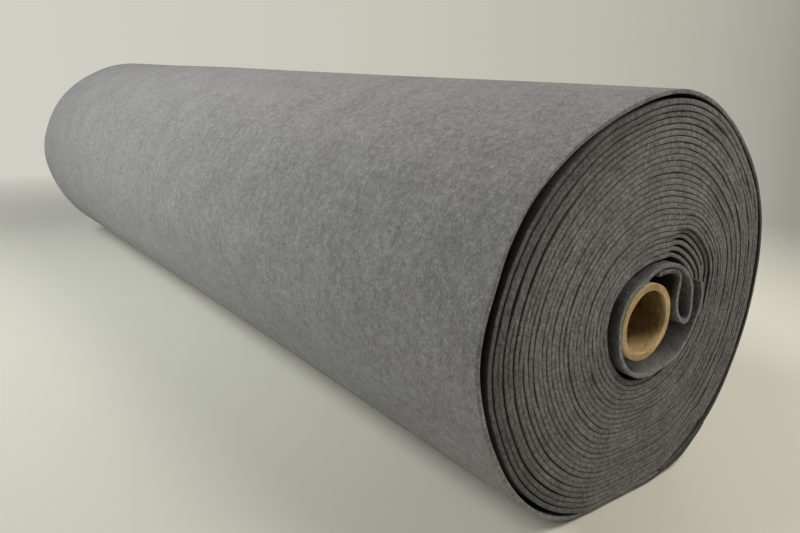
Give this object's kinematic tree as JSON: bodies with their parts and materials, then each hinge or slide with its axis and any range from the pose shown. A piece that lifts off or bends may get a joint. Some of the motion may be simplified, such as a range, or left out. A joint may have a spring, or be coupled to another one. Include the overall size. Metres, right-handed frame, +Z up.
{
  "type": "roll of felt",
  "caption": "Wide roll of plain grey felt wound on a cardboard tube and lying on its side, with a loose inner wrap folded back in a hook beside the tube.",
  "frame": {"origin": "bottom centre of the whole roll, on the surface that it rests on", "axes": "+X along the roll, towards the pictured end; +Z up; the hook of the inner wrap is on the +Y side of the tube"},
  "size_m": [0.904, 0.262, 0.2475],
  "materials": {
    "felt": "matt needle-punched fibre, grey melange",
    "cardboard": "matt brown kraft board"
  },
  "bodies": {
    "root": {"felt_roll": "felt", "core_tube": "cardboard"}
  },
  "joints": []
}
